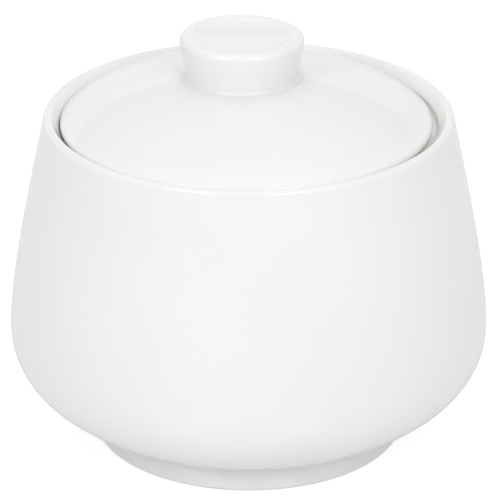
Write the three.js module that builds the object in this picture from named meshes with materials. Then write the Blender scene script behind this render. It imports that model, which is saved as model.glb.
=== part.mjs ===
// A porcelain sugar bowl with a loose lid that lies sunk in its mouth.
// Millimetres and degrees, +Z up. The origin is the middle of the foot's contact plane, on the bowl's axis.
// Every piece is turned about an upright axis from a closed outline in (radius, height).
import * as THREE from 'three';

// Bowl: outside
const BELLY_RADIUS = 52.5; // widest point
const BELLY_HEIGHT = 25.4; // height of the widest point
const RIM_RADIUS = 44.3; // outermost point of the lip
const RIM_HEIGHT = 74.1; // top of the lip
const LIP_WIDTH = 3.4; // from its outermost point to the mouth
const LIP_RADIUS = 1.1; // outer rounding of the lip
const LIP_SLOPE = 55; // fall of the lip's inner side, down into the mouth
const WALL_LEAN = 11; // lean of the wall from the vertical, just below the lip
const LIP_PULL = 5; // length over which the wall keeps that lean
const BELLY_PULL_UP = 12; // roundness of the belly, upwards
const BELLY_PULL_DOWN = 12.9; // roundness of the belly, downwards
const UNDERSIDE_RISE = 30; // slope of the underside where it meets the foot
const UNDERSIDE_PULL = 6.5; // length over which the underside keeps that slope

// Bowl: wall, floor and base
const WALL = 3;
const FLOOR = 3.2; // thickness in the middle
const FLOOR_EASE = 10; // width over which the wall runs out into the flat floor
const BASE_HEIGHT = 3; // underside of the bowl's middle, above the table
const BASE_EASE = 13.8; // width over which the underside runs out into the flat base

// Bowl: gallery, the inner ledge that carries the lid
const SEAT_DEPTH = 3.7; // ledge below the top of the lip
const GALLERY_WIDTH = 4.9; // ledge from the mouth's wall to its bore
const GALLERY_NOSE = 3.2; // thickness of the ledge at its bore
const GALLERY_UNDERCUT = 40; // slope of the ledge's underside
const GALLERY_ROUND = 1; // rounding of the ledge's edges
const SEAT_ROUND = 1.3; // width of the rounding between the ledge and the mouth

// Foot ring
const FOOT_RADIUS = 34;
const FOOT_HEIGHT = 5.35; // where the foot's side meets the bowl
const FOOT_WIDTH = 3.8; // ring's width at the table, with both roundings
const FOOT_TOP_WIDTH = 5.6; // ring's width where it meets the bowl
const FOOT_ROUND = 0.6; // roundings beside the contact face

// Lid
const LID_GAP = 0.85; // radial gap from the lid's edge to the mouth
const LID_EDGE_RADIUS = 1.35; // rounding of the edge
const LID_RISE = 12.6; // crown above the lid's seating face
const LID_SLOPE = 42; // slope of the dome at its edge
const LID_EDGE_PULL = 10.8; // length over which the dome keeps that slope
const LID_CROWN_PULL = 11; // roundness of the crown
const LID_WALL = 3;
const LID_ROOT_ROUND = 1.6; // inner corner where the vault meets the seating band

// Locating flange under the lid
const FLANGE_CLEARANCE = 1.2; // radial play in the gallery's bore
const FLANGE_WALL = 3;
const FLANGE_DROP = 6;
const FLANGE_DRAFT = 3; // taper of both sides
const FLANGE_ROUND = 1.1;

// Knob
const KNOB_RADIUS = 13.4; // at the lip
const KNOB_BASE_RADIUS = 11.9;
const KNOB_HEIGHT = 8.6; // above the lid's crown
const KNOB_LIP_RADIUS = 1.4; // outer rounding of the lip
const KNOB_RIM = 2.5; // width of the rim round the dish
const KNOB_INNER_LIP_RADIUS = 0.6; // inner rounding of the rim
const KNOB_DISH = 1.25; // depth of the dished top
const KNOB_DISH_SLOPE = 35; // slope of the dish just inside the rim
const KNOB_DISH_PULL = 1.6; // length over which the dish keeps that slope
const KNOB_DISH_FLAT = 6.5; // flatness of the dish's middle
const KNOB_FILLET = 1.3; // flare where the knob meets the lid
const KNOB_WALL = 3.3; // wall at the base, round the hollow
const KNOB_ROOF = 3; // thickness under the dish
const KNOB_HOLLOW_ROUND = 2;
const KNOB_DRIFT = 0.9; // the knob was set by hand, to one side of the lid's axis

// Fits
const SEAM = 0.3; // gap between pieces that touch
const LID_DRIFT = Math.min(FLANGE_CLEARANCE, LID_GAP) - SEAM; // the lid lies against one side of its seat

// Fineness
const TURN_STEPS = 48; // facets round the axis
const KNOB_TURN_STEPS = 40;
const LONG_STEPS = 9; // along a long free curve
const BELLY_STEPS = 12; // along the tight curve below the belly
const SHORT_STEPS = 4; // along a short free curve
const CORNER_STEPS = 3; // round a small corner
const QUARTER_STEPS = 4; // along a quarter of a circle
const FINE_STEPS = 40; // for curves that other pieces read
const HANDLE_SHARE = 1 / 3; // reach of a free curve's handle, as a share of the curve's width
const SAME_POINT = 1e-4; // points closer than this are one

const point = (radius, height) => new THREE.Vector2(radius, height);
const toRadians = THREE.MathUtils.degToRad;

// Direction at an angle from the horizontal: 0 points outwards, 90 up
function heading(degrees) {
  return point(Math.cos(toRadians(degrees)), Math.sin(toRadians(degrees)));
}

function along(from, direction, length) {
  return from.clone().addScaledVector(direction, length);
}

function freeCurve(start, startPull, endPull, end) {
  return new THREE.CubicBezierCurve(start, startPull, endPull, end);
}

// Curve that leaves a point along a slope and runs out level at another
function runOut(start, slope, end) {
  const pull = (start.x - end.x) * HANDLE_SHARE;
  return freeCurve(start, along(start, slope, -pull), point(end.x + pull, end.y), end);
}

function arc(centre, radius, fromDegrees, toDegrees) {
  const turn = toDegrees - fromDegrees;
  const steps = Math.ceil((Math.abs(turn) / 90) * QUARTER_STEPS);
  const points = [];
  for (let i = 0; i <= steps; i += 1) {
    points.push(along(centre, heading(fromDegrees + (turn * i) / steps), radius));
  }
  return points;
}

// Curve that touches both sides of a corner where it starts and ends
function eased(start, corner, end, steps = CORNER_STEPS) {
  return new THREE.QuadraticBezierCurve(start, corner, end).getPoints(steps);
}

// Rounds the corner between two straight stretches, by no more than half of the shorter one
function rounded(before, corner, after, radius) {
  const back = before.clone().sub(corner);
  const ahead = after.clone().sub(corner);
  const halfAngle = Math.acos(back.dot(ahead) / (back.length() * ahead.length())) / 2;
  const room = Math.min(back.length(), ahead.length()) / 2;
  const setback = Math.min(radius / Math.tan(halfAngle), room);
  return eased(along(corner, back.normalize(), setback), corner, along(corner, ahead.normalize(), setback));
}

// Points of a curve that runs up an outside, moved inwards by a thickness
function inside(curve, thickness, steps) {
  const points = [];
  for (let i = 0; i <= steps; i += 1) {
    const tangent = curve.getTangent(i / steps);
    const inwards = point(-tangent.y, tangent.x);
    points.push(along(curve.getPoint(i / steps), inwards, thickness));
  }
  return points;
}

function raised(points, lift) {
  return points.map((p) => point(p.x, p.y + lift));
}

// Height at a radius of a line whose radii only grow or only shrink
function heightAt(line, radius) {
  for (let i = 1; i < line.length; i += 1) {
    const share = (radius - line[i - 1].x) / (line[i].x - line[i - 1].x);
    if (share >= 0 && share <= 1) return THREE.MathUtils.lerp(line[i - 1].y, line[i].y, share);
  }
  throw new Error(`the line has no point at radius ${radius}`);
}

// Stretch of such a line, from one radius to another
function between(line, fromRadius, toRadius, steps) {
  const points = [];
  for (let i = 0; i <= steps; i += 1) {
    const radius = THREE.MathUtils.lerp(fromRadius, toRadius, i / steps);
    points.push(point(radius, heightAt(line, radius)));
  }
  return points;
}

// Part of a falling line below a slope, from the point where the slope meets the line
function below(line, start, slope) {
  const drops = line.map((p) => p.clone().sub(start).cross(slope));
  const first = drops.findIndex((drop) => drop > 0);
  const share = drops[first - 1] / (drops[first - 1] - drops[first]);
  const meeting = line[first - 1].clone().lerp(line[first], share);
  return [meeting, ...line.slice(first)];
}

// One outline from several stretches, without the points that two of them share
function outline(...stretches) {
  const points = [];
  for (const p of stretches.flat()) {
    const last = points[points.length - 1];
    if (!last || last.distanceTo(p) > SAME_POINT) points.push(p);
  }
  return points;
}

// Solid of revolution about +Z. The outline runs along the bottom first, outwards, then up the outside.
function turned(name, points, turnSteps, look) {
  const geometry = new THREE.LatheGeometry(points, turnSteps);
  geometry.rotateX(Math.PI / 2);
  const mesh = new THREE.Mesh(geometry, new THREE.MeshStandardMaterial(look));
  mesh.name = name;
  return mesh;
}

// Sizes and lines that several pieces share
const mouthRadius = RIM_RADIUS - LIP_WIDTH;
const galleryRadius = mouthRadius - GALLERY_WIDTH;
const ledgeHeight = RIM_HEIGHT - SEAT_DEPTH;
const footJoint = point(FOOT_RADIUS, FOOT_HEIGHT);
const underslope = heading(UNDERSIDE_RISE);
const baseCurve = runOut(footJoint, underslope, point(FOOT_RADIUS - BASE_EASE, BASE_HEIGHT));

const lidBottom = ledgeHeight + SEAM;
const lidRadius = mouthRadius - LID_GAP;
const flangeRadius = galleryRadius - FLANGE_CLEARANCE;
const flangeInnerRadius = flangeRadius - FLANGE_WALL;
const crown = lidBottom + LID_RISE;
const hollowRadius = KNOB_BASE_RADIUS - KNOB_WALL;

// Dome of the lid, from its rounded edge up to the crown
const lidEdge = point(lidRadius - LID_EDGE_RADIUS, lidBottom + LID_EDGE_RADIUS);
const domeStart = along(lidEdge, heading(90 - LID_SLOPE), LID_EDGE_RADIUS);
const domeCurve = freeCurve(
  domeStart,
  along(domeStart, heading(180 - LID_SLOPE), LID_EDGE_PULL),
  point(LID_CROWN_PULL, crown),
  point(0, crown),
);
const dome = domeCurve.getPoints(FINE_STEPS);

// Shell with a rounded lip and, inside the mouth, the ledge that the lid lies on
function bowl() {
  const belly = point(BELLY_RADIUS, BELLY_HEIGHT);
  const lip = point(RIM_RADIUS - LIP_RADIUS, RIM_HEIGHT - LIP_RADIUS);
  const wallTop = along(lip, heading(WALL_LEAN), LIP_RADIUS);
  const under = freeCurve(
    footJoint,
    along(footJoint, underslope, UNDERSIDE_PULL),
    point(BELLY_RADIUS, BELLY_HEIGHT - BELLY_PULL_DOWN),
    belly,
  );
  const side = freeCurve(
    belly,
    point(BELLY_RADIUS, BELLY_HEIGHT + BELLY_PULL_UP),
    along(wallTop, heading(WALL_LEAN - 90), LIP_PULL),
    wallTop,
  );

  // Inside, from the top down to the floor
  const insideSide = inside(side, WALL, LONG_STEPS).reverse();
  const insideUnder = inside(under, WALL, BELLY_STEPS).reverse();
  const floorStart = insideUnder[insideUnder.length - 1];
  const floorHeight = BASE_HEIGHT + FLOOR;
  const floorCurve = runOut(floorStart, underslope, point(floorStart.x - FLOOR_EASE, floorHeight));

  // Ledge, with an underside that slopes back down to the wall
  const slopeStart = along(lip, heading(90 + LIP_SLOPE), LIP_RADIUS);
  const slopeDrop = (slopeStart.x - mouthRadius) * Math.tan(toRadians(LIP_SLOPE));
  const mouthTop = point(mouthRadius, Math.max(ledgeHeight, slopeStart.y - slopeDrop));
  const root = point(mouthRadius, ledgeHeight);
  const nose = point(galleryRadius, ledgeHeight);
  const noseFoot = point(galleryRadius, ledgeHeight - GALLERY_NOSE);
  const belowLedge = below(insideSide, noseFoot, heading(-GALLERY_UNDERCUT));

  return turned(
    'bowl',
    outline(
      [point(0, BASE_HEIGHT)],
      baseCurve.getPoints(SHORT_STEPS).reverse(),
      under.getPoints(BELLY_STEPS),
      side.getPoints(LONG_STEPS),
      arc(lip, LIP_RADIUS, WALL_LEAN, 90 + LIP_SLOPE),
      eased(mouthTop, root, point(mouthRadius - SEAT_ROUND, ledgeHeight), SHORT_STEPS),
      rounded(root, nose, noseFoot, GALLERY_ROUND),
      rounded(nose, noseFoot, belowLedge[0], GALLERY_ROUND),
      belowLedge,
      insideUnder,
      floorCurve.getPoints(SHORT_STEPS),
      [point(0, floorHeight)],
    ),
    TURN_STEPS,
    { color: 0xf3f3f1, roughness: 0.12, metalness: 0 },
  );
}

// Ring that the bowl stands on, with a flat contact face and an inside that widens downwards
function footRing() {
  const seatLine = raised(baseCurve.getPoints(FINE_STEPS), -SEAM);
  const seat = between(seatLine, FOOT_RADIUS, FOOT_RADIUS - FOOT_TOP_WIDTH, SHORT_STEPS);
  const outerTop = seat[0];
  const innerTop = seat[seat.length - 1];
  const outerFoot = point(FOOT_RADIUS, 0);
  const innerFoot = point(FOOT_RADIUS - FOOT_WIDTH, 0);
  return turned(
    'foot_ring',
    outline(
      [innerTop],
      rounded(innerTop, innerFoot, outerFoot, FOOT_ROUND),
      rounded(innerFoot, outerFoot, outerTop, FOOT_ROUND),
      seat,
    ),
    TURN_STEPS,
    { color: 0xf0f0ed, roughness: 0.35, metalness: 0 },
  );
}

// Domed cap with a rounded edge, a flat seating band below it and a hole under the knob
function lid() {
  const vaultLine = inside(domeCurve, LID_WALL, FINE_STEPS);
  const vaultRadius = flangeInnerRadius - LID_ROOT_ROUND;
  const vault = between(vaultLine, hollowRadius, vaultRadius, LONG_STEPS);
  const root = point(flangeInnerRadius, heightAt(vaultLine, flangeInnerRadius));
  const rootFoot = point(flangeInnerRadius, lidBottom);
  const rootEnd = point(flangeInnerRadius, Math.max(lidBottom, root.y - LID_ROOT_ROUND));
  return turned(
    'lid',
    outline(
      [rootFoot],
      arc(lidEdge, LID_EDGE_RADIUS, -90, 90 - LID_SLOPE),
      between(dome, domeStart.x, hollowRadius, LONG_STEPS + SHORT_STEPS),
      vault,
      eased(vault[vault.length - 1], root, rootEnd),
      [rootFoot],
    ),
    TURN_STEPS,
    { color: 0xf3f3f1, roughness: 0.12, metalness: 0 },
  );
}

// Ring under the lid that drops through the gallery's bore and keeps the lid in place
function lidFlange() {
  const top = lidBottom - SEAM;
  const foot = top - FLANGE_DROP;
  const taper = FLANGE_DROP * Math.tan(toRadians(FLANGE_DRAFT));
  const outerTop = point(flangeRadius, top);
  const innerTop = point(flangeInnerRadius, top);
  const outerFoot = point(flangeRadius - taper, foot);
  const innerFoot = point(flangeInnerRadius + taper, foot);
  return turned(
    'lid_flange',
    outline(
      [outerTop, innerTop],
      rounded(innerTop, innerFoot, outerFoot, FLANGE_ROUND),
      rounded(innerFoot, outerFoot, outerTop, FLANGE_ROUND),
      [outerTop],
    ),
    TURN_STEPS,
    { color: 0xeeece6, roughness: 0.3, metalness: 0 },
  );
}

// Moves a piece off the dome's axis; its underside follows the dome and its top stays level
function settled(mesh, drift, top) {
  const place = mesh.geometry.attributes.position;
  for (let i = 0; i < place.count; i += 1) {
    const [x, y, z] = [place.getX(i), place.getY(i), place.getZ(i)];
    const share = Math.min((top - z) / (top - crown), 1);
    const shift = heightAt(dome, Math.hypot(x - drift, y)) - heightAt(dome, Math.hypot(x, y));
    place.setZ(i, z + share * shift);
  }
  mesh.position.x = -drift;
  return mesh;
}

// Knob that widens upwards, dished on top and hollow below
function knob() {
  const top = crown + KNOB_HEIGHT;
  const seatLine = raised(dome, SEAM);
  const seat = between(seatLine, hollowRadius, KNOB_BASE_RADIUS + KNOB_FILLET, SHORT_STEPS);
  const lipCentre = point(KNOB_RADIUS - KNOB_LIP_RADIUS, top - KNOB_LIP_RADIUS);
  const wallTop = point(KNOB_RADIUS, lipCentre.y);
  const wallFoot = point(KNOB_BASE_RADIUS, heightAt(seatLine, KNOB_BASE_RADIUS));
  const wallUp = wallTop.clone().sub(wallFoot).normalize();

  // Dish, from just inside the rim to the axis
  const innerLip = point(KNOB_RADIUS - KNOB_RIM, top - KNOB_INNER_LIP_RADIUS);
  const dishStart = along(innerLip, heading(90 + KNOB_DISH_SLOPE), KNOB_INNER_LIP_RADIUS);
  const dishMiddle = point(0, top - KNOB_DISH);
  const dish = freeCurve(
    dishStart,
    along(dishStart, heading(180 + KNOB_DISH_SLOPE), KNOB_DISH_PULL),
    point(KNOB_DISH_FLAT, dishMiddle.y),
    dishMiddle,
  );

  const roof = point(0, dishMiddle.y - KNOB_ROOF);
  const hollowTop = point(hollowRadius, roof.y);
  const mesh = turned(
    'knob',
    outline(
      [roof],
      rounded(roof, hollowTop, seat[0], KNOB_HOLLOW_ROUND),
      seat,
      eased(seat[seat.length - 1], wallFoot, along(wallFoot, wallUp, KNOB_FILLET)),
      arc(lipCentre, KNOB_LIP_RADIUS, 0, 90),
      arc(innerLip, KNOB_INNER_LIP_RADIUS, 90, 90 + KNOB_DISH_SLOPE),
      dish.getPoints(LONG_STEPS),
    ),
    KNOB_TURN_STEPS,
    { color: 0xf3f3f1, roughness: 0.12, metalness: 0 },
  );
  return settled(mesh, KNOB_DRIFT, top);
}

const lidParts = new THREE.Group();
lidParts.position.x = -LID_DRIFT;
lidParts.add(lid(), lidFlange(), knob());

const sugarBowl = new THREE.Group();
sugarBowl.add(bowl(), footRing(), lidParts);

export default sugarBowl;
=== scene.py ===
import cmath
import math

import bpy
import numpy as np
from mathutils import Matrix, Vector


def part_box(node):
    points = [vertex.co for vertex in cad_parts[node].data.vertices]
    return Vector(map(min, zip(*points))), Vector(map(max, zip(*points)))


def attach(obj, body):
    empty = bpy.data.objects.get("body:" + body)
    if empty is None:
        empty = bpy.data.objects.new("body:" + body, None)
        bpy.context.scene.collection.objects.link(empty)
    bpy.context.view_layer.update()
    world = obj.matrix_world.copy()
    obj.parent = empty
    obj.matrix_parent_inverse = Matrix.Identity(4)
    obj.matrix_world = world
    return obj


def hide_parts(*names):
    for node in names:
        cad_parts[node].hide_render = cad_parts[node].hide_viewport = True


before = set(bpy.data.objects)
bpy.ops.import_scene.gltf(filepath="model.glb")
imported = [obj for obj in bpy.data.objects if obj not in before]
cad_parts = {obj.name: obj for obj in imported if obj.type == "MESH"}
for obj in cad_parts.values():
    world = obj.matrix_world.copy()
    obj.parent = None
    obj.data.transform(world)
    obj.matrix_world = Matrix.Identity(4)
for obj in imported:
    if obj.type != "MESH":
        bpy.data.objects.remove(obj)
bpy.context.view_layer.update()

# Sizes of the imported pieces, in millimetres and degrees; FOOT_FILLET and GALLERY_ROOT_ROUND are glaze alone
MM = 0.001
BELLY_RADIUS = 52.5
BELLY_HEIGHT = 25.4
RIM_RADIUS = 44.3
RIM_HEIGHT = 74.1
LIP_WIDTH = 3.4
LIP_RADIUS = 1.1
LIP_SLOPE = 55
WALL_LEAN = 11
LIP_PULL = 5
BELLY_PULL_UP = 12
BELLY_PULL_DOWN = 12.9
UNDERSIDE_RISE = 30
UNDERSIDE_PULL = 6.5
WALL = 3
FLOOR = 3.2
FLOOR_EASE = 10
BASE_HEIGHT = 3
BASE_EASE = 13.8
SEAT_DEPTH = 3.7
GALLERY_WIDTH = 4.9
GALLERY_NOSE = 3.2
GALLERY_UNDERCUT = 40
GALLERY_ROUND = 1
SEAT_ROUND = 1.3
GALLERY_ROOT_ROUND = 4
FOOT_RADIUS = 34
FOOT_HEIGHT = 5.35
FOOT_WIDTH = 3.8
FOOT_TOP_WIDTH = 5.6
FOOT_ROUND = 0.6
FOOT_FILLET = 2
LID_GAP = 0.85
LID_EDGE_RADIUS = 1.35
LID_RISE = 12.6
LID_SLOPE = 42
LID_EDGE_PULL = 10.8
LID_CROWN_PULL = 11
LID_WALL = 3
LID_ROOT_ROUND = 1.6
FLANGE_CLEARANCE = 1.2
FLANGE_WALL = 3
FLANGE_DROP = 6
FLANGE_DRAFT = 3
FLANGE_ROUND = 1.1
KNOB_RADIUS = 13.4
KNOB_BASE_RADIUS = 11.9
KNOB_HEIGHT = 8.6
KNOB_LIP_RADIUS = 1.4
KNOB_RIM = 2.5
KNOB_INNER_LIP_RADIUS = 0.6
KNOB_DISH = 1.25
KNOB_DISH_SLOPE = 35
KNOB_DISH_PULL = 1.6
KNOB_DISH_FLAT = 6.5
KNOB_FILLET = 1.3
KNOB_WALL = 3.3
KNOB_ROOF = 3
KNOB_HOLLOW_ROUND = 2
SEAM = 0.3

# Fineness of the turned meshes
TURNS = 192
LONG_STEPS = 48
SHORT_STEPS = 16
CORNER_STEPS = 10
HANDLE_SHARE = 1 / 3
FINER = 4  # times as many points on a line that is only looked up
SAME_POINT = 1e-4
SHARP_ANGLE = 40

# Glaze
GLAZE_LINE = 0.3
LID_GLAZE_LINE = 0.35
GLAZE_SOFTNESS = 0.12
CURVE_REACH = 0.7
CURVE_FULL_TURN = 1.2
GLAZE_WAVES = ((0.12, 3, 0.4), (0.08, 7, 1.9), (0.05, 17, 0))  # size, count and start

# Unevenness of fired clay: size, count and start of waves round a piece, and their drift with height
CLAY_WAVES = ((0.035, 2, 0.6, 0.01), (0.02, 3, 2.1, -0.02))


# Outlines: a point is a complex number, radius + height j
def heading(degrees):
    return cmath.rect(1, math.radians(degrees))


def shares(steps):
    return [i / steps for i in range(steps + 1)]


def cubic(handles, steps):
    a, b, c, d = handles
    return [(1 - t) ** 3 * a + 3 * (1 - t) ** 2 * t * b + 3 * (1 - t) * t ** 2 * c + t ** 3 * d
            for t in shares(steps)]


def cubic_inside(handles, thickness, steps):
    """Points of a cubic that runs up an outside, moved inwards by a thickness."""
    a, b, c, d = handles
    points = []
    for t, point in zip(shares(steps), cubic(handles, steps)):
        slope = (1 - t) ** 2 * (b - a) + 2 * (1 - t) * t * (c - b) + t ** 2 * (d - c)
        points.append(point + thickness * 1j * slope / abs(slope))
    return points


def run_out(start, slope, end):
    """Handles of a cubic that leaves a point along a slope and runs out level at another."""
    pull = (start.real - end.real) * HANDLE_SHARE
    return start, start - pull * slope, end + pull, end


def arc(centre, radius, start, end, steps):
    return [centre + radius * heading(start + (end - start) * t) for t in shares(steps)]


def eased(start, corner, end, steps=CORNER_STEPS):
    return [(1 - t) ** 2 * start + 2 * (1 - t) * t * corner + t ** 2 * end for t in shares(steps)]


def straight(start, end, steps):
    return [start + (end - start) * t for t in shares(steps)]


def rounded(before, corner, after, radius):
    back = before - corner
    ahead = after - corner
    half_angle = abs(cmath.phase(back / ahead)) / 2
    room = min(abs(back), abs(ahead)) / 2
    setback = min(radius / math.tan(half_angle), room)
    return eased(corner + setback * back / abs(back), corner, corner + setback * ahead / abs(ahead))


def height_at(line, radius):
    for p, q in zip(line, line[1:]):
        share = (radius - p.real) / (q.real - p.real)
        if 0 <= share <= 1:
            return p.imag + (q.imag - p.imag) * share
    raise ValueError("the line has no point at radius %s" % radius)


def between(line, start, end, steps):
    radii = [start + (end - start) * t for t in shares(steps)]
    return [complex(r, height_at(line, r)) for r in radii]


def below(line, start, slope):
    """Part of a falling line below a slope, from the point where the slope meets the line."""
    drops = [((p - start) * slope.conjugate()).imag for p in line]
    first = next(i for i, drop in enumerate(drops) if drop < 0)
    share = drops[first - 1] / (drops[first - 1] - drops[first])
    return [line[first - 1] + (line[first] - line[first - 1]) * share] + line[first:]


def outline(*stretches):
    points = []
    for stretch in stretches:
        for p in stretch:
            if not points or abs(points[-1] - p) > SAME_POINT:
                points.append(p)
    return points


# Sizes and lines that several pieces share
mouth_radius = RIM_RADIUS - LIP_WIDTH
gallery_radius = mouth_radius - GALLERY_WIDTH
ledge_height = RIM_HEIGHT - SEAT_DEPTH
foot_joint = complex(FOOT_RADIUS, FOOT_HEIGHT)
underslope = heading(UNDERSIDE_RISE)
base_line = run_out(foot_joint, underslope, complex(FOOT_RADIUS - BASE_EASE, BASE_HEIGHT))
belly = complex(BELLY_RADIUS, BELLY_HEIGHT)
lip_centre = complex(RIM_RADIUS - LIP_RADIUS, RIM_HEIGHT - LIP_RADIUS)
wall_top = lip_centre + LIP_RADIUS * heading(WALL_LEAN)
under_line = (foot_joint, foot_joint + UNDERSIDE_PULL * underslope,
              belly - 1j * BELLY_PULL_DOWN, belly)
side_line = (belly, belly + 1j * BELLY_PULL_UP, wall_top + LIP_PULL * heading(WALL_LEAN - 90), wall_top)

lid_bottom = ledge_height + SEAM
lid_radius = mouth_radius - LID_GAP
flange_radius = gallery_radius - FLANGE_CLEARANCE
flange_inner_radius = flange_radius - FLANGE_WALL
crown = lid_bottom + LID_RISE
hollow_radius = KNOB_BASE_RADIUS - KNOB_WALL
lid_edge = complex(lid_radius - LID_EDGE_RADIUS, lid_bottom + LID_EDGE_RADIUS)
dome_start = lid_edge + LID_EDGE_RADIUS * heading(90 - LID_SLOPE)
dome_line = (dome_start, dome_start + LID_EDGE_PULL * heading(180 - LID_SLOPE),
             complex(LID_CROWN_PULL, crown), complex(0, crown))
dome = cubic(dome_line, FINER * LONG_STEPS)
dome_radii = [p.real for p in reversed(dome)]
dome_heights = [p.imag for p in reversed(dome)]
knob_top = crown + KNOB_HEIGHT


# Axes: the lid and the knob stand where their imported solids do
def axis_of(node_name):
    low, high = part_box(node_name)
    return complex(low.x + high.x, low.y + high.y) / 2


lid_axis = axis_of("lid")
knob_axis = axis_of("knob")


def about(axis):
    """Placing of an outline's points round an upright axis, from millimetres to metres."""
    def place(radius, angle, height):
        spot = axis + cmath.rect(radius * MM, angle)
        return spot.real, spot.imag, height * MM
    return place


def on_dome(radius, angle, height):
    """Placing of the knob's points: its underside follows the dome and its top stays level."""
    spot = knob_axis + cmath.rect(radius * MM, angle)
    beside = abs(spot - lid_axis) / MM
    share = min((knob_top - height) / (knob_top - crown), 1)
    shift = np.interp(beside, dome_radii, dome_heights) - np.interp(radius, dome_radii, dome_heights)
    return spot.real, spot.imag, (height + share * shift) * MM


def sway(angle, height):
    """Unevenness of the clay in millimetres, always inwards."""
    return -sum(size * (1 - math.cos(count * angle + start + drift * height))
                for size, count, start, drift in CLAY_WAVES)


def wobble(angle):
    """Unevenness of a glaze's edge in millimetres."""
    return sum(size * math.sin(count * angle + start) for size, count, start in GLAZE_WAVES)


def smooth_step(value):
    t = min(max(value, 0), 1)
    return t * t * (3 - 2 * t)


def turning(points, closed):
    """Signed turn of an outline round each of its points: positive on edges, negative in corners."""
    lengths = [0]
    for p, q in zip(points, points[1:]):
        lengths.append(lengths[-1] + abs(q - p))
    total = lengths[-1] + (abs(points[0] - points[-1]) if closed else 0)

    def at(length):
        if closed:
            length %= total
        length = min(max(length, 0), lengths[-1])
        for i in range(1, len(points)):
            if lengths[i] >= length:
                share = (length - lengths[i - 1]) / (lengths[i] - lengths[i - 1])
                return points[i - 1] + (points[i] - points[i - 1]) * share
        return points[-1]

    turns = []
    for p, length in zip(points, lengths):
        back = p - at(length - CURVE_REACH)
        ahead = at(length + CURVE_REACH) - p
        if abs(back) < SAME_POINT or abs(ahead) < SAME_POINT:
            turns.append(0)
        else:
            turns.append(cmath.phase(ahead / back))
    return turns


def turned(name, points, place, bare):
    """Closed mesh of revolution. The outline runs outwards along the bottom, then up the outside."""
    closed = abs(points[0] - points[-1]) < SAME_POINT
    if closed:
        points = points[:-1]
    turns = turning(points, closed)
    vertices = []
    rings = []
    values = {"edge": [], "pool": [], "bare": []}
    for p, turn in zip(points, turns):
        on_axis = p.real < SAME_POINT
        count = 1 if on_axis else TURNS
        rings.append(range(len(vertices), len(vertices) + count))
        for i in range(count):
            angle = 2 * math.pi * i / TURNS
            radius = 0 if on_axis else p.real + sway(angle, p.imag)
            vertices.append(place(radius, angle, p.imag))
            values["edge"].append(min(max(turn / CURVE_FULL_TURN, 0), 1))
            values["pool"].append(min(max(-turn / CURVE_FULL_TURN, 0), 1))
            values["bare"].append(bare(p, angle))
    faces = []
    pairs = list(zip(rings, rings[1:]))
    if closed:
        pairs.append((rings[-1], rings[0]))
    for lower, upper in pairs:
        for i in range(TURNS):
            j = (i + 1) % TURNS
            if len(lower) == 1:
                faces.append((lower[0], upper[j], upper[i]))
            elif len(upper) == 1:
                faces.append((lower[i], lower[j], upper[0]))
            else:
                faces.append((lower[i], lower[j], upper[j], upper[i]))
    mesh = bpy.data.meshes.new(name)
    mesh.from_pydata(vertices, [], faces)
    for label, numbers in values.items():
        attribute = mesh.attributes.new(label, "FLOAT", "POINT")
        attribute.data.foreach_set("value", numbers)
    mesh.polygons.foreach_set("use_smooth", [True] * len(faces))
    mesh.set_sharp_from_angle(angle=math.radians(SHARP_ANGLE))
    piece = bpy.data.objects.new(name, mesh)
    bpy.context.scene.collection.objects.link(piece)
    return piece


def glazed(p, angle):
    return 0


# Pieces
def make_bowl():
    inside_side = cubic_inside(side_line, WALL, LONG_STEPS)[::-1]
    inside_under = cubic_inside(under_line, WALL, LONG_STEPS)[::-1]
    floor_start = inside_under[-1]
    floor_height = BASE_HEIGHT + FLOOR
    floor_line = run_out(floor_start, underslope, complex(floor_start.real - FLOOR_EASE, floor_height))
    slope_start = lip_centre + LIP_RADIUS * heading(90 + LIP_SLOPE)
    slope_drop = (slope_start.real - mouth_radius) * math.tan(math.radians(LIP_SLOPE))
    mouth_top = complex(mouth_radius, slope_start.imag - slope_drop)
    root = complex(mouth_radius, ledge_height)
    nose = complex(gallery_radius, ledge_height)
    nose_foot = nose - 1j * GALLERY_NOSE
    wall_inside = below(inside_side, nose_foot, heading(-GALLERY_UNDERCUT))
    corner = wall_inside[0]
    lower_wall = [p for p in wall_inside if abs(p - corner) > GALLERY_ROOT_ROUND]
    corner_start = corner - GALLERY_ROOT_ROUND * heading(-GALLERY_UNDERCUT)
    seat_from = gallery_radius + GALLERY_ROUND
    seat_to = mouth_radius - SEAT_ROUND

    def bare(p, angle):
        on_ledge = abs(p.imag - ledge_height) < SAME_POINT
        inner = smooth_step((p.real - seat_from - wobble(angle)) / GALLERY_ROUND)
        outer = smooth_step((seat_to + wobble(angle) - p.real) / GALLERY_ROUND)
        return inner * outer if on_ledge else 0

    points = outline(
        straight(complex(0, BASE_HEIGHT), base_line[-1], SHORT_STEPS),
        cubic(base_line, SHORT_STEPS)[::-1],
        cubic(under_line, LONG_STEPS),
        cubic(side_line, LONG_STEPS),
        arc(lip_centre, LIP_RADIUS, WALL_LEAN, 90 + LIP_SLOPE, SHORT_STEPS),
        straight(slope_start, mouth_top, SHORT_STEPS),
        eased(mouth_top, root, complex(seat_to, ledge_height), SHORT_STEPS),
        straight(complex(seat_to, ledge_height), complex(seat_from, ledge_height), SHORT_STEPS),
        rounded(root, nose, nose_foot, GALLERY_ROUND),
        rounded(nose, nose_foot, corner, GALLERY_ROUND),
        eased(corner_start, corner, lower_wall[0]),
        lower_wall,
        inside_under,
        cubic(floor_line, SHORT_STEPS),
        straight(floor_line[-1], complex(0, floor_height), SHORT_STEPS),
    )
    return turned("bowl_porcelain", points, about(0), bare)


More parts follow.
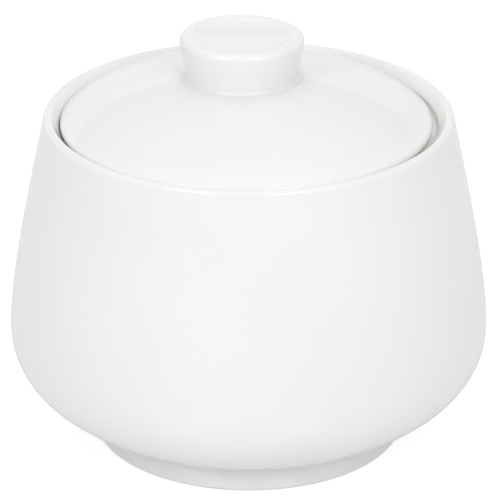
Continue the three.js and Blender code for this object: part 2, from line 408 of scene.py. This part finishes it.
def make_foot_ring():
    base = cubic(base_line, FINER * SHORT_STEPS)
    under = cubic(under_line, FINER * LONG_STEPS)
    inner_seat = between(base, FOOT_RADIUS - FOOT_TOP_WIDTH, FOOT_RADIUS, SHORT_STEPS)[::-1]
    outer_foot = complex(FOOT_RADIUS, 0)
    inner_foot = complex(FOOT_RADIUS - FOOT_WIDTH, 0)
    inner_top = inner_seat[-1]
    flare = complex(FOOT_RADIUS + FOOT_FILLET, height_at(under, FOOT_RADIUS + FOOT_FILLET))
    inner_round = rounded(inner_top, inner_foot, outer_foot, FOOT_ROUND)
    outer_round = rounded(inner_foot, outer_foot, foot_joint, FOOT_ROUND)

    def bare(p, angle):
        return smooth_step((GLAZE_LINE + wobble(angle) - p.imag) / GLAZE_SOFTNESS)

    points = outline(
        [inner_top],
        straight(inner_top, inner_round[0], LONG_STEPS),
        inner_round,
        straight(inner_round[-1], outer_round[0], SHORT_STEPS),
        outer_round,
        straight(outer_round[-1], foot_joint - 1j * FOOT_FILLET, LONG_STEPS),
        eased(foot_joint - 1j * FOOT_FILLET, foot_joint, flare),
        [foot_joint],
        inner_seat,
    )
    return turned("foot_ring_porcelain", points, about(0), bare)


def make_lid():
    vault_line = cubic_inside(dome_line, LID_WALL, FINER * LONG_STEPS)
    vault = between(vault_line, hollow_radius, flange_inner_radius - LID_ROOT_ROUND, LONG_STEPS)
    root = complex(flange_inner_radius, height_at(vault_line, flange_inner_radius))
    root_foot = complex(flange_inner_radius, lid_bottom)
    root_end = complex(flange_inner_radius, max(lid_bottom, root.imag - LID_ROOT_ROUND))
    band_end = complex(lid_edge.real, lid_bottom)

    def bare(p, angle):
        return smooth_step((lid_bottom + LID_GLAZE_LINE + wobble(angle) - p.imag) / GLAZE_SOFTNESS)

    points = outline(
        straight(root_foot, band_end, SHORT_STEPS),
        arc(lid_edge, LID_EDGE_RADIUS, -90, 90 - LID_SLOPE, 2 * SHORT_STEPS),
        between(dome, dome_start.real, hollow_radius, 2 * LONG_STEPS),
        vault,
        eased(vault[-1], root, root_end),
        straight(root_end, root_foot, SHORT_STEPS),
    )
    return turned("lid_porcelain", points, about(lid_axis), bare)


def make_lid_flange():
    taper = FLANGE_DROP * math.tan(math.radians(FLANGE_DRAFT))
    outer_top = complex(flange_radius, lid_bottom)
    inner_top = complex(flange_inner_radius, lid_bottom)
    outer_foot = outer_top - complex(taper, FLANGE_DROP)
    inner_foot = inner_top + complex(taper, -FLANGE_DROP)
    inner_round = rounded(inner_top, inner_foot, outer_foot, FLANGE_ROUND)
    outer_round = rounded(inner_foot, outer_foot, outer_top, FLANGE_ROUND)
    points = outline(
        [outer_top],
        straight(inner_top, inner_round[0], SHORT_STEPS),
        inner_round,
        outer_round,
        straight(outer_round[-1], outer_top, SHORT_STEPS),
    )
    return turned("lid_flange_bisque", points, about(lid_axis), lambda p, angle: 1)


def make_knob():
    flare_radius = KNOB_BASE_RADIUS + KNOB_FILLET
    seat = between(dome, hollow_radius, flare_radius, SHORT_STEPS)
    rim_centre = complex(KNOB_RADIUS - KNOB_LIP_RADIUS, knob_top - KNOB_LIP_RADIUS)
    wall_top_point = complex(KNOB_RADIUS, rim_centre.imag)
    wall_foot = complex(KNOB_BASE_RADIUS, height_at(dome, KNOB_BASE_RADIUS))
    wall_up = (wall_top_point - wall_foot) / abs(wall_top_point - wall_foot)
    fillet_top = wall_foot + KNOB_FILLET * wall_up
    inner_centre = complex(KNOB_RADIUS - KNOB_RIM, knob_top - KNOB_INNER_LIP_RADIUS)
    rim_outer = rim_centre + 1j * KNOB_LIP_RADIUS
    rim_inner = inner_centre + 1j * KNOB_INNER_LIP_RADIUS
    dish_start = inner_centre + KNOB_INNER_LIP_RADIUS * heading(90 + KNOB_DISH_SLOPE)
    dish_middle = complex(0, knob_top - KNOB_DISH)
    dish_line = (dish_start, dish_start + KNOB_DISH_PULL * heading(180 + KNOB_DISH_SLOPE),
                 complex(KNOB_DISH_FLAT, dish_middle.imag), dish_middle)
    roof = dish_middle - 1j * KNOB_ROOF
    hollow_top = complex(hollow_radius, roof.imag)
    hollow_round = rounded(roof, hollow_top, seat[0], KNOB_HOLLOW_ROUND)
    points = outline(
        straight(roof, hollow_round[0], SHORT_STEPS),
        hollow_round,
        straight(hollow_round[-1], seat[0], SHORT_STEPS),
        seat,
        eased(seat[-1], wall_foot, fillet_top),
        straight(fillet_top, wall_top_point, SHORT_STEPS),
        arc(rim_centre, KNOB_LIP_RADIUS, 0, 90, SHORT_STEPS),
        straight(rim_outer, rim_inner, CORNER_STEPS),
        arc(inner_centre, KNOB_INNER_LIP_RADIUS, 90, 90 + KNOB_DISH_SLOPE, CORNER_STEPS),
        cubic(dish_line, LONG_STEPS),
    )
    return turned("knob_porcelain", points, on_dome, glazed)


# Materials
def new_node(tree, kind, settings=None, inputs=None):
    node = tree.nodes.new(kind)
    for key, value in (settings or {}).items():
        setattr(node, key, value)
    for key, value in (inputs or {}).items():
        node.inputs[key].default_value = value
    return node


def mixed_colour(tree, factor, first, second):
    mix = new_node(tree, "ShaderNodeMix", {"data_type": "RGBA"})
    tree.links.new(factor, mix.inputs[0])
    for socket, value in ((mix.inputs[6], first), (mix.inputs[7], second)):
        if isinstance(value, tuple):
            socket.default_value = value
        else:
            tree.links.new(value, socket)
    return mix.outputs[2]


def map_range(tree, value, low, high, to_low, to_high):
    node = new_node(tree, "ShaderNodeMapRange", None,
                    {"From Min": low, "From Max": high, "To Min": to_low, "To Max": to_high})
    tree.links.new(value, node.inputs["Value"])
    return node.outputs["Result"]


def math_node(tree, operation, first, second):
    node = new_node(tree, "ShaderNodeMath", {"operation": operation})
    for socket, value in zip(node.inputs, (first, second)):
        if isinstance(value, (int, float)):
            socket.default_value = value
        else:
            tree.links.new(value, socket)
    return node.outputs[0]


# Colours and unevenness of glaze and clay
PURE_WHITE = (1, 1, 1, 1)
WHITE = (0.905, 0.905, 0.895, 1)
WHITE_DEEP = (0.885, 0.888, 0.876, 1)
POOLED = (0.865, 0.872, 0.858, 1)
THIN = (0.905, 0.895, 0.872, 1)
BISQUE = (0.86, 0.845, 0.81, 1)
SPECK = (0.46, 0.42, 0.37, 1)
SPECK_CELLS = 120
SPECK_CHANCE = 0.06
SPECK_CORE = 0.012
SPECK_RIM = 0.028
SPECK_STRENGTH = 0.22
CLOUD_SCALE = 28
CLOUD_DETAIL = 3
GRAIN_SCALE = 2600
PEEL_SCALE = 420
PEEL_SHARE = 0.25
POOL_SCALE = 90
POOL_RANGE = (0.45, 0.9)
EDGE_SCALE = 120
EDGE_RANGE = (0.3, 0.9)
BISQUE_GRAIN = 0.12
GLOSS_SCALE = 60
GLOSS_ROUGHNESS = (0.05, 0.11)
BARE_ROUGHNESS = 0.8
FINE_DETAIL = 2
PLAIN_DETAIL = 1
NOISE_MIDDLE = (0.35, 0.65)
NOISE_BROAD = (0.3, 0.7)
RELIEF_STRENGTH = 0.35
RELIEF_HEIGHT = 0.00002
GLAZE_INDEX = 1.5
CLAY_GLOW = 0.1
CLAY_GLOW_COLOUR = (1.0, 0.9, 0.75)
CLAY_GLOW_DEPTH = 0.001


def porcelain(name):
    """Clear glaze on white porcelain, bare where the attribute bare says so."""
    material = bpy.data.materials.new(name)
    material.use_nodes = True
    tree = material.node_tree
    shader = tree.nodes["Principled BSDF"]
    place = new_node(tree, "ShaderNodeTexCoord").outputs["Object"]

    def noise(scale, detail):
        node = new_node(tree, "ShaderNodeTexNoise", None, {"Scale": scale, "Detail": detail})
        tree.links.new(place, node.inputs["Vector"])
        return node.outputs["Fac"]

    def attribute(label):
        return new_node(tree, "ShaderNodeAttribute", {"attribute_name": label}).outputs["Fac"]

    cloud = map_range(tree, noise(CLOUD_SCALE, CLOUD_DETAIL), *NOISE_MIDDLE, 0, 1)
    grain = noise(GRAIN_SCALE, FINE_DETAIL)
    peel = noise(PEEL_SCALE, PLAIN_DETAIL)
    bare = attribute("bare")

    # Colour: slow clouds, deeper tint where glaze gathers, thinner glaze on edges, a few iron specks
    colour = mixed_colour(tree, cloud, WHITE, WHITE_DEEP)
    uneven_pool = map_range(tree, noise(POOL_SCALE, FINE_DETAIL), *NOISE_BROAD, *POOL_RANGE)
    pool = math_node(tree, "MULTIPLY", attribute("pool"), uneven_pool)
    colour = mixed_colour(tree, pool, colour, POOLED)
    uneven_edge = map_range(tree, noise(EDGE_SCALE, FINE_DETAIL), *NOISE_BROAD, *EDGE_RANGE)
    edge = math_node(tree, "MULTIPLY", attribute("edge"), uneven_edge)
    colour = mixed_colour(tree, edge, colour, THIN)
    cells = new_node(tree, "ShaderNodeTexVoronoi", None, {"Scale": SPECK_CELLS, "Randomness": 1})
    tree.links.new(place, cells.inputs["Vector"])
    chosen = new_node(tree, "ShaderNodeSeparateColor")
    tree.links.new(cells.outputs["Color"], chosen.inputs["Color"])
    rare = math_node(tree, "GREATER_THAN", chosen.outputs[0], 1 - SPECK_CHANCE)
    near = map_range(tree, cells.outputs["Distance"], SPECK_CORE, SPECK_RIM, SPECK_STRENGTH, 0)
    colour = mixed_colour(tree, math_node(tree, "MULTIPLY", rare, near), colour, SPECK)
    bisque = mixed_colour(tree, map_range(tree, grain, *NOISE_MIDDLE, 0, BISQUE_GRAIN), BISQUE, SPECK)
    colour = mixed_colour(tree, bare, colour, bisque)
    tree.links.new(colour, shader.inputs["Base Color"])

    # Gloss: even glaze with slow variation, matt where it is bare
    gloss = map_range(tree, noise(GLOSS_SCALE, FINE_DETAIL), *NOISE_BROAD, *GLOSS_ROUGHNESS)
    rough = new_node(tree, "ShaderNodeMix")
    tree.links.new(bare, rough.inputs[0])
    tree.links.new(gloss, rough.inputs[2])
    rough.inputs[3].default_value = BARE_ROUGHNESS
    tree.links.new(rough.outputs[0], shader.inputs["Roughness"])

    # Surface: faint orange peel in the glaze, fine grain on bare clay
    relief = new_node(tree, "ShaderNodeMix")
    tree.links.new(bare, relief.inputs[0])
    tree.links.new(math_node(tree, "MULTIPLY", peel, PEEL_SHARE), relief.inputs[2])
    tree.links.new(grain, relief.inputs[3])
    bump = new_node(tree, "ShaderNodeBump", None,
                    {"Strength": RELIEF_STRENGTH, "Distance": RELIEF_HEIGHT})
    tree.links.new(relief.outputs[0], bump.inputs["Height"])
    tree.links.new(bump.outputs["Normal"], shader.inputs["Normal"])

    shader.inputs["IOR"].default_value = GLAZE_INDEX
    shader.inputs["Subsurface Weight"].default_value = CLAY_GLOW
    shader.inputs["Subsurface Radius"].default_value = CLAY_GLOW_COLOUR
    shader.inputs["Subsurface Scale"].default_value = CLAY_GLOW_DEPTH
    return material


pieces = (
    (make_bowl(), "bowl", "bowl"),
    (make_foot_ring(), "foot_ring", "bowl"),
    (make_lid(), "lid", "lid"),
    (make_lid_flange(), "lid_flange", "lid"),
    (make_knob(), "knob", "lid"),
)
glaze = porcelain("glazed_porcelain")
for piece, node_name, body in pieces:
    piece.data.materials.append(glaze)
    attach(piece, body)
    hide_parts(node_name)


# Floor: pale and plain, lifted to white for the camera, with the object's shadow
FLOOR_SIZE = 6
FLOOR_ROUGHNESS = 0.03
FLOOR_COLOUR = (0.93, 0.93, 0.93, 1)
FLOOR_LIFT = 0.4
floor_mesh = bpy.data.meshes.new("floor")
half = FLOOR_SIZE / 2
floor_corners = [(-half, -half, 0), (half, -half, 0), (half, half, 0), (-half, half, 0)]
floor_mesh.from_pydata(floor_corners, [], [(0, 1, 2, 3)])
floor = bpy.data.objects.new("floor", floor_mesh)
bpy.context.scene.collection.objects.link(floor)
floor_material = bpy.data.materials.new("floor_white")
floor_material.use_nodes = True
floor_tree = floor_material.node_tree
floor_shader = floor_tree.nodes["Principled BSDF"]
floor_shader.inputs["Base Color"].default_value = FLOOR_COLOUR
floor_shader.inputs["Roughness"].default_value = FLOOR_ROUGHNESS
floor_shader.inputs["Emission Color"].default_value = PURE_WHITE
floor_path = new_node(floor_tree, "ShaderNodeLightPath")
floor_tree.links.new(math_node(floor_tree, "MULTIPLY", floor_path.outputs["Is Camera Ray"], FLOOR_LIFT),
                     floor_shader.inputs["Emission Strength"])
floor_mesh.materials.append(floor_material)

# World: white to the camera and in reflections, a plain grey fill otherwise
FILL = 0.64
world = bpy.data.worlds.new("studio")
bpy.context.scene.world = world
world.use_nodes = True
world_tree = world.node_tree
world_tree.nodes.clear()
fill = new_node(world_tree, "ShaderNodeBackground", None, {"Color": PURE_WHITE, "Strength": FILL})
white = new_node(world_tree, "ShaderNodeBackground", None, {"Color": PURE_WHITE, "Strength": 1})
either = new_node(world_tree, "ShaderNodeMixShader")
output = new_node(world_tree, "ShaderNodeOutputWorld")
world_path = new_node(world_tree, "ShaderNodeLightPath")
seen = math_node(world_tree, "MAXIMUM", world_path.outputs["Is Camera Ray"],
                 world_path.outputs["Is Glossy Ray"])
seen = math_node(world_tree, "MAXIMUM", seen, world_path.outputs["Is Transmission Ray"])
world_tree.links.new(seen, either.inputs[0])
world_tree.links.new(fill.outputs[0], either.inputs[1])
world_tree.links.new(white.outputs[0], either.inputs[2])
world_tree.links.new(either.outputs[0], output.inputs["Surface"])

# Lamps: two soft boxes in front, and a large one above and behind, which the glaze doesn't mirror
TARGET = Vector((0, 0, 0.04))
LAMP_DISTANCE = 1.2


def away_from_target(azimuth, elevation):
    """Direction from the object: azimuth 0 is the camera's side, positive to the right."""
    turn = math.radians(azimuth)
    rise = math.radians(elevation)
    return Vector((math.sin(turn) * math.cos(rise), -math.cos(turn) * math.cos(rise), math.sin(rise)))


def softbox(name, azimuth, elevation, width, height, power):
    light = bpy.data.lights.new(name, "AREA")
    light.shape = "RECTANGLE"
    light.size = width
    light.size_y = height
    light.energy = power
    lamp = bpy.data.objects.new(name, light)
    bpy.context.scene.collection.objects.link(lamp)
    away = away_from_target(azimuth, elevation)
    lamp.location = TARGET + away * LAMP_DISTANCE
    lamp.rotation_euler = (-away).to_track_quat("-Z", "Y").to_euler()
    return lamp


softbox("softbox_left", azimuth=-35, elevation=33, width=0.48, height=0.36, power=2.5)
softbox("softbox_right", azimuth=24, elevation=33, width=0.36, height=0.36, power=3.0)
top_lamp = softbox("softbox_top", azimuth=180, elevation=66, width=0.9, height=0.9, power=2.2)
top_lamp.visible_glossy = False

# Ceiling: the dimmer studio above the white backdrop, which only the glaze mirrors
CEILING_DISTANCE = 1.5
CEILING_AZIMUTHS = (100, 260)
CEILING_ELEVATIONS = (24, 85)
CEILING_SHADE = 0.65
CEILING_STEPS = 16
ceiling_places = []
ceiling_faces = []
for step, share in enumerate(shares(CEILING_STEPS)):
    azimuth = CEILING_AZIMUTHS[0] + (CEILING_AZIMUTHS[1] - CEILING_AZIMUTHS[0]) * share
    for elevation in CEILING_ELEVATIONS:
        ceiling_places.append(TARGET + CEILING_DISTANCE * away_from_target(azimuth, elevation))
    if step:
        ceiling_faces.append((2 * step - 2, 2 * step, 2 * step + 1, 2 * step - 1))
ceiling_mesh = bpy.data.meshes.new("ceiling")
ceiling_mesh.from_pydata(ceiling_places, [], ceiling_faces)
ceiling = bpy.data.objects.new("ceiling", ceiling_mesh)
bpy.context.scene.collection.objects.link(ceiling)
ceiling_material = bpy.data.materials.new("ceiling_grey")
ceiling_material.use_nodes = True
ceiling_shader = ceiling_material.node_tree.nodes["Principled BSDF"]
ceiling_shader.inputs["Base Color"].default_value = (0, 0, 0, 1)
ceiling_shader.inputs["Roughness"].default_value = 1
ceiling_shader.inputs["Emission Color"].default_value = PURE_WHITE
ceiling_shader.inputs["Emission Strength"].default_value = CEILING_SHADE
ceiling_mesh.materials.append(ceiling_material)
ceiling.visible_camera = False
ceiling.visible_diffuse = False
ceiling.visible_shadow = False

# Camera at the photograph's viewing angle
CAMERA_DISTANCE = 0.7
CAMERA_ELEVATION = 24.2
CAMERA_AIM = Vector((0.000274, 0, 0.04152))
CAMERA_LENS = 230.1
camera_data = bpy.data.cameras.new("camera")
camera_data.lens = CAMERA_LENS
camera = bpy.data.objects.new("camera", camera_data)
bpy.context.scene.collection.objects.link(camera)
climb = math.radians(CAMERA_ELEVATION)
sight = Vector((0, math.cos(climb), -math.sin(climb)))
camera.location = CAMERA_AIM - sight * CAMERA_DISTANCE
camera.rotation_euler = sight.to_track_quat("-Z", "Y").to_euler()
bpy.context.scene.camera = camera
bpy.context.scene.view_settings.view_transform = "Standard"
